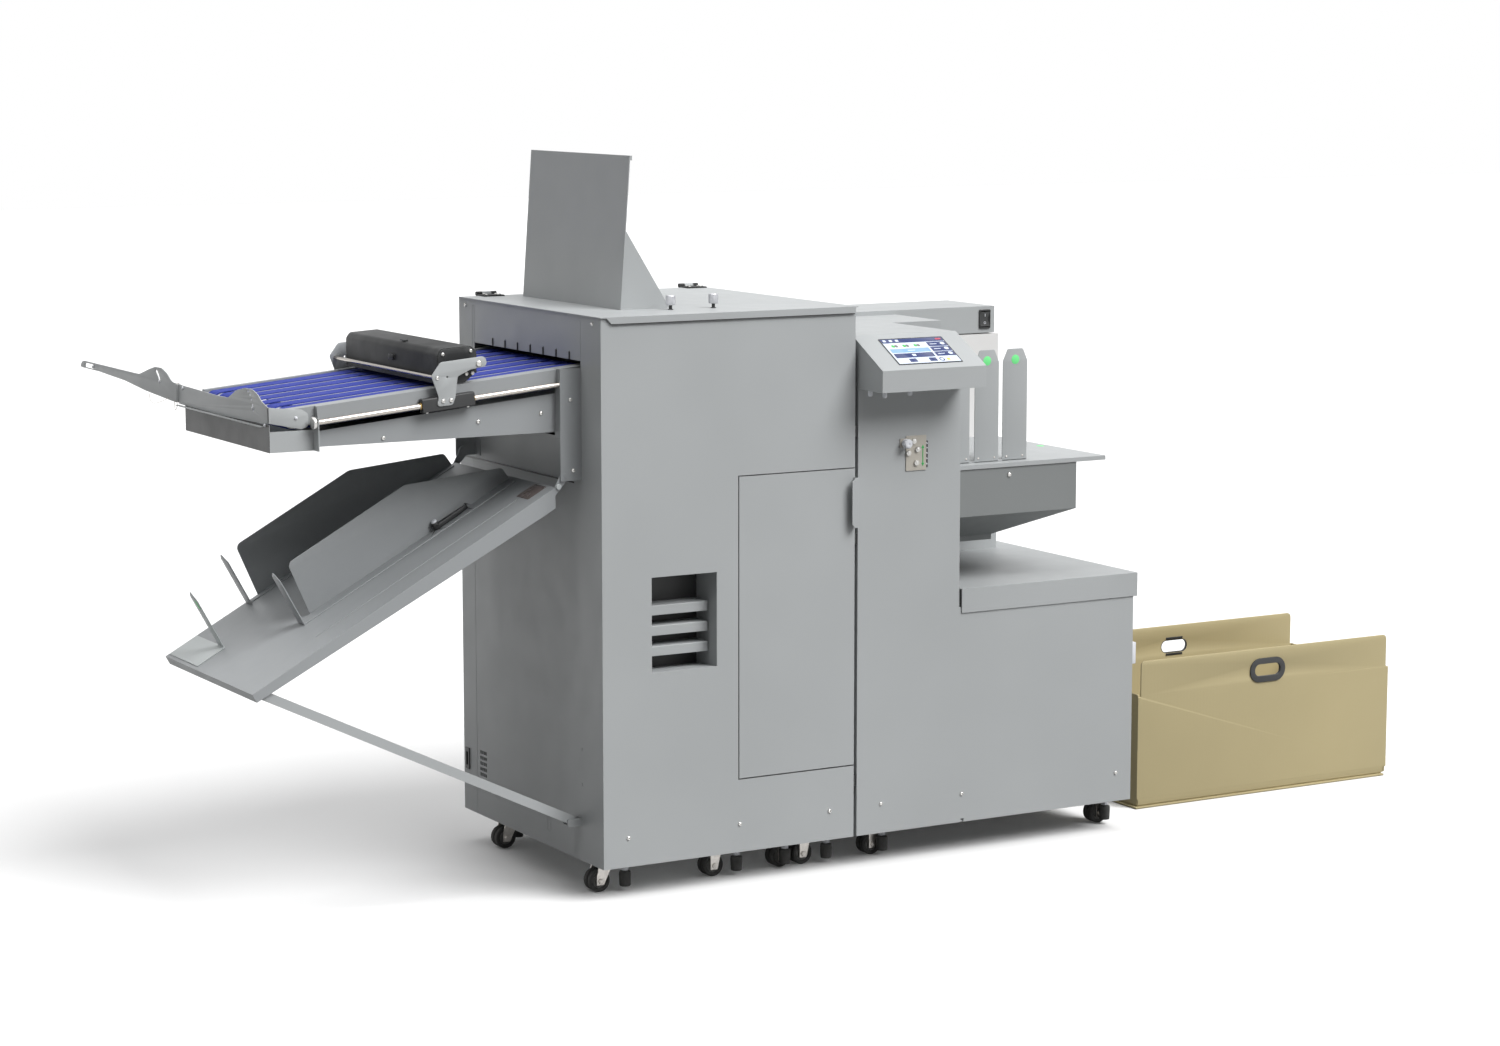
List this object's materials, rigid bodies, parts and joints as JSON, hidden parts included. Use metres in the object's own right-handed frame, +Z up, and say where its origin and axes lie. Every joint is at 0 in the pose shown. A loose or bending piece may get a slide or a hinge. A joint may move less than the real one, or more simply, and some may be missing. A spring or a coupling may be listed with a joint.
{
  "type": "paper folding machine",
  "caption": "Floor-standing sheet creaser and folder on castors with suction feeder, console, inclined belt delivery, stacker tray and collecting bin.",
  "frame": {"origin": "on the floor under the centre of the bounding box", "axes": "+X from the belt delivery towards the feeder and bin, +Y from the operator's side to the rear, +Z up"},
  "size_m": [3.0808, 1.379, 1.595],
  "materials": {
    "casing_paint": "satin grey powder coat",
    "lid_paint": "satin light grey powder coat",
    "frame_steel": "zinc plated",
    "rod_steel": "ground and polished",
    "zinc": "bright zinc",
    "black_plastic": "fine grain",
    "tyre_rubber": "matt",
    "roller_rubber": "ground rubber",
    "belt_blue": "smooth belt",
    "screen": "gloss",
    "scale_plate": "satin beige grey",
    "drum_alloy": "turned",
    "bin_plastic": "tan twin-wall board"
  },
  "bodies": {
    "machine": {"main_casing": "casing_paint", "chassis": "frame_steel", "louvre_vent": "casing_paint", "drive_motor": "drum_alloy", "docking_latches": "black_plastic", "power_inlet": "black_plastic", "levelling_feet": "tyre_rubber", "panel_screws": "zinc", "feeder_casing": "casing_paint", "feeder_rear_casing": "casing_paint", "feeder_shelf": "lid_paint", "suction_head": "casing_paint", "console_housing": "casing_paint", "touch_screen": "screen", "vacuum_pump": "drum_alloy", "conveyor_frame": "casing_paint", "conveyor_belts": "belt_blue", "end_box": "casing_paint", "slide_rods": "rod_steel", "near_end_wing": "casing_paint", "fixed_castor_forks": "zinc"},
    "lid": {"top_lid": "lid_paint", "lid_flap": "casing_paint", "lid_knobs": "drum_alloy", "lid_hinges": "black_plastic"},
    "door": {"access_door": "casing_paint", "door_handle": "casing_paint"},
    "fold_roller_a": {"fold_roller_a": "roller_rubber"},
    "fold_roller_b": {"fold_roller_b": "roller_rubber"},
    "knife": {"fold_knife": "frame_steel"},
    "crease": {"crease_blade": "frame_steel"},
    "drive_drum": {"drive_roller": "drum_alloy"},
    "idler_drum": {"idler_roller": "drum_alloy"},
    "far_wing": {"far_end_wing": "casing_paint"},
    "carriage": {"roller_carriage": "black_plastic"},
    "head": {"roller_head": "black_plastic"},
    "press_roller": {"press_roller": "roller_rubber"},
    "tray": {"stacker_tray": "casing_paint"},
    "strut": {"tray_strut": "casing_paint"},
    "near_guide": {"near_side_plate": "casing_paint"},
    "far_guide": {"far_side_plate": "casing_paint"},
    "stop": {"end_stop": "casing_paint"},
    "clamp": {"clamp_lever": "black_plastic"},
    "rocker": {"rocker_switch": "black_plastic"},
    "adjuster": {"adjuster_plate": "scale_plate"},
    "adjuster_knob": {"adjuster_knob": "black_plastic"},
    "table": {"feed_table": "casing_paint", "table_chute": "casing_paint"},
    "fence": {"feed_guides": "casing_paint"},
    "rotor": {"suction_rotor": "drum_alloy"},
    "near_swivel": {"left_near_castor_fork": "zinc"},
    "far_swivel": {"left_far_castor_fork": "zinc"},
    "near_swivel_wheel": {"left_near_castor_wheel": "tyre_rubber"},
    "far_swivel_wheel": {"left_far_castor_wheel": "tyre_rubber"},
    "bin": {"collecting_bin": "bin_plastic"},
    "wheel_pair_1": {"fixed_wheel_pair_1": "tyre_rubber"},
    "wheel_pair_2": {"fixed_wheel_pair_2": "tyre_rubber"},
    "wheel_pair_3": {"fixed_wheel_pair_3": "tyre_rubber"},
    "wheel_pair_4": {"fixed_wheel_pair_4": "tyre_rubber"},
    "wheel_pair_5": {"fixed_wheel_pair_5": "tyre_rubber"}
  },
  "joints": [
    {"name": "lid_hinge", "type": "hinge", "parent": "machine", "child": "lid", "pos_m": [-0.47061, 0.1165, 1.268], "axis": [-1, 0, 0], "range_deg": [0, 75]},
    {"name": "door_hinge", "type": "hinge", "parent": "machine", "child": "door", "pos_m": [-0.44661, -0.587, 0.573], "axis": [0, 0, -1], "range_deg": [0, 110]},
    {"name": "fold_roller_a_spin", "type": "hinge", "parent": "machine", "child": "fold_roller_a", "pos_m": [-0.51461, -0.2395, 1.06], "axis": [0, 1, 0], "continuous": true},
    {"name": "fold_roller_b_spin", "type": "hinge", "parent": "machine", "child": "fold_roller_b", "pos_m": [-0.46361, -0.2395, 1.06], "axis": [0, 1, 0], "continuous": true},
    {"name": "knife_stroke", "type": "slide", "parent": "machine", "child": "knife", "axis": [0, 0, -1], "range_m": [0, 0.032]},
    {"name": "crease_stroke", "type": "slide", "parent": "machine", "child": "crease", "axis": [0, 0, -1], "range_m": [0, 0.01]},
    {"name": "belt_drive", "type": "hinge", "parent": "machine", "child": "drive_drum", "pos_m": [-0.75772, -0.2215, 1.13036], "axis": [0, 1, 0], "continuous": true},
    {"name": "belt_idler", "type": "hinge", "parent": "machine", "child": "idler_drum", "pos_m": [-1.41998, -0.2215, 1.07009], "axis": [0, 1, 0], "continuous": true},
    {"name": "wing_hinge", "type": "hinge", "parent": "machine", "child": "far_wing", "pos_m": [-1.48561, 0.0445, 1.085], "axis": [0, 0, -1], "range_deg": [0, 88]},
    {"name": "carriage_slide", "type": "slide", "parent": "machine", "child": "carriage", "axis": [0.9959, 0, 0.0906], "range_m": [-0.22, 0.17]},
    {"name": "head_hinge", "type": "hinge", "parent": "carriage", "child": "head", "pos_m": [-1.02661, -0.2395, 1.172], "axis": [0, 1, 0], "range_deg": [0, 60]},
    {"name": "press_roller_spin", "type": "hinge", "parent": "head", "child": "press_roller", "pos_m": [-1.06461, -0.2395, 1.14], "axis": [0, 1, 0], "continuous": true},
    {"name": "tray_hinge", "type": "hinge", "parent": "machine", "child": "tray", "pos_m": [-0.82261, -0.2395, 0.922], "axis": [0, 1, 0], "range_deg": [0, 15]},
    {"name": "strut_hinge", "type": "hinge", "parent": "tray", "child": "strut", "pos_m": [-1.517, -0.4765, 0.51237], "axis": [0, 1, 0], "range_deg": [-36, 0]},
    {"name": "near_guide_slide", "type": "slide", "parent": "tray", "child": "near_guide", "axis": [0, 1, 0], "range_m": [-0.1, 0.1]},
    {"name": "far_guide_slide", "type": "slide", "parent": "tray", "child": "far_guide", "axis": [0, 1, 0], "range_m": [-0.06, 0]},
    {"name": "stop_slide", "type": "slide", "parent": "tray", "child": "stop", "axis": [0.8763, 0, 0.4818], "range_m": [0, 0.12]},
    {"name": "clamp_turn", "type": "hinge", "parent": "near_guide", "child": "clamp", "pos_m": [-1.03086, -0.2975, 0.79675], "axis": [0.4818, 0, -0.8763], "range_deg": [0, 90]},
    {"name": "rocker_pivot", "type": "hinge", "parent": "machine", "child": "rocker", "pos_m": [0.51239, -0.0925, 1.175], "axis": [1, 0, 0], "range_deg": [-8, 8]},
    {"name": "adjuster_slide", "type": "slide", "parent": "machine", "child": "adjuster", "axis": [0, 0, 1], "range_m": [-0.02, 0.02]},
    {"name": "adjuster_knob_turn", "type": "hinge", "parent": "adjuster", "child": "adjuster_knob", "pos_m": [-0.02961, -0.5995, 0.955], "axis": [0, 1, 0], "continuous": true},
    {"name": "table_lift", "type": "slide", "parent": "machine", "child": "table", "axis": [0, 0, 1], "range_m": [0, 0.15]},
    {"name": "fence_slide", "type": "slide", "parent": "table", "child": "fence", "axis": [0, 1, 0], "range_m": [0, 0.12]},
    {"name": "rotor_spin", "type": "hinge", "parent": "machine", "child": "rotor", "pos_m": [0.19039, -0.1995, 1.15], "axis": [0, 1, 0], "continuous": true},
    {"name": "near_swivel", "type": "hinge", "parent": "machine", "child": "near_swivel", "pos_m": [-0.72261, -0.4735, 0.06], "axis": [0, 0, 1], "range_deg": [-85, 85]},
    {"name": "near_swivel_wheel_roll", "type": "hinge", "parent": "near_swivel", "child": "near_swivel_wheel", "pos_m": [-0.74261, -0.4735, 0.025], "axis": [0, 1, 0], "continuous": true},
    {"name": "far_swivel", "type": "hinge", "parent": "machine", "child": "far_swivel", "pos_m": [-0.72261, -0.0055, 0.06], "axis": [0, 0, 1], "range_deg": [-85, 85]},
    {"name": "far_swivel_wheel_roll", "type": "hinge", "parent": "far_swivel", "child": "far_swivel_wheel", "pos_m": [-0.74261, -0.0055, 0.025], "axis": [0, 1, 0], "continuous": true},
    {"name": "wheel_pair_1_roll", "type": "hinge", "parent": "machine", "child": "wheel_pair_1", "pos_m": [-0.45861, -0.4735, 0.025], "axis": [0, 1, 0], "continuous": true},
    {"name": "wheel_pair_2_roll", "type": "hinge", "parent": "machine", "child": "wheel_pair_2", "pos_m": [-0.28461, -0.4735, 0.025], "axis": [0, 1, 0], "continuous": true},
    {"name": "wheel_pair_3_roll", "type": "hinge", "parent": "machine", "child": "wheel_pair_3", "pos_m": [-0.22861, -0.4735, 0.025], "axis": [0, 1, 0], "continuous": true},
    {"name": "wheel_pair_4_roll", "type": "hinge", "parent": "machine", "child": "wheel_pair_4", "pos_m": [-0.04461, -0.4735, 0.025], "axis": [0, 1, 0], "continuous": true},
    {"name": "wheel_pair_5_roll", "type": "hinge", "parent": "machine", "child": "wheel_pair_5", "pos_m": [0.59139, -0.4735, 0.025], "axis": [0, 1, 0], "continuous": true},
    {"name": "bin_pull", "type": "slide", "parent": "machine", "child": "bin", "axis": [1, 0, 0], "range_m": [0, 0.5]}
  ],
  "couplings": [
    {"joint": "fold_roller_b_spin", "follows": "fold_roller_a_spin", "ratio": -1},
    {"joint": "belt_idler", "follows": "belt_drive", "ratio": 1},
    {"joint": "strut_hinge", "follows": "tray_hinge", "ratio": -2.35}
  ]
}
